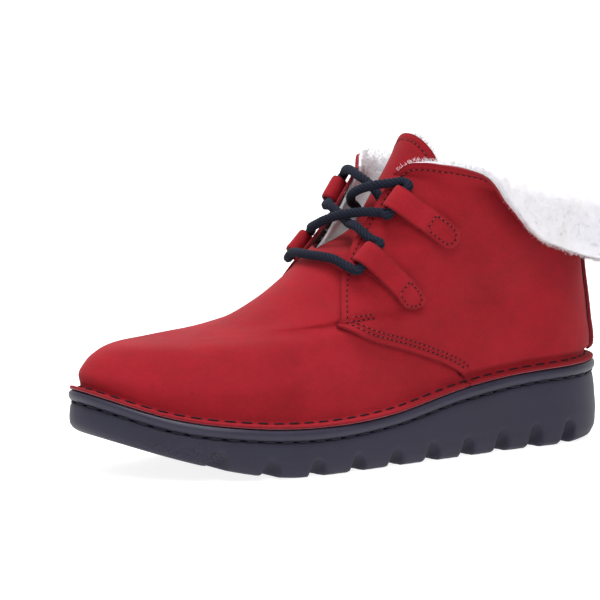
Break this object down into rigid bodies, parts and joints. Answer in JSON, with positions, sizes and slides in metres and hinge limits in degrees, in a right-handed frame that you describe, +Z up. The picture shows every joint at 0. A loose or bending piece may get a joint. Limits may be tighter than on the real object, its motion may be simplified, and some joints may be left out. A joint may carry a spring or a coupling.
{
  "type": "lined ankle boot",
  "caption": "Lace-up nubuck ankle boot, left foot, with a fleece lining that rolls out over the collar and a lugged rubber sole.",
  "frame": {"origin": "on the ground under the sole, halfway along the boot and on its centre line", "axes": "+X towards the toe, +Y towards the outer side of the foot, +Z up; the sole's flat tread faces -Z"},
  "size_m": [0.2813, 0.1084, 0.1518],
  "materials": {
    "sole_rubber": "matte",
    "band_rubber": "matte",
    "insole_board": "matte",
    "shank_steel": "satin",
    "footbed_foam": "matte",
    "footbed_leather": "matte",
    "red_nubuck": "matte",
    "cream_fleece": "matte",
    "stiffener": "matte",
    "lace_cord": "matte",
    "lace_tip": "gloss"
  },
  "bodies": {
    "boot": {"outsole": "sole_rubber", "midsole": "band_rubber", "insole_board": "insole_board", "shank": "shank_steel", "footbed": "footbed_foam", "footbed_cover": "footbed_leather", "vamp": "red_nubuck", "lateral_quarter": "red_nubuck", "medial_quarter": "red_nubuck", "back_strip": "red_nubuck", "lateral_upper_loop": "red_nubuck", "lateral_lower_loop": "red_nubuck", "medial_upper_loop": "red_nubuck", "medial_lower_loop": "red_nubuck", "vamp_lining": "cream_fleece", "lateral_quarter_lining": "cream_fleece", "medial_quarter_lining": "cream_fleece", "toe_puff": "stiffener", "heel_counter": "stiffener", "lace": "lace_cord", "lace_tip_inner": "lace_tip", "lace_tip_outer": "lace_tip"},
    "tongue": {"tongue": "red_nubuck", "tongue_lining": "cream_fleece"}
  },
  "joints": [
    {"name": "tongue_tilt", "type": "hinge", "parent": "boot", "child": "tongue", "pos_m": [0.016, 0, 0.093], "axis": [0, -1, 0], "range_deg": [0, 10], "stiffness_Nm_per_rad": 0.25, "springref_deg": -5.73}
  ]
}
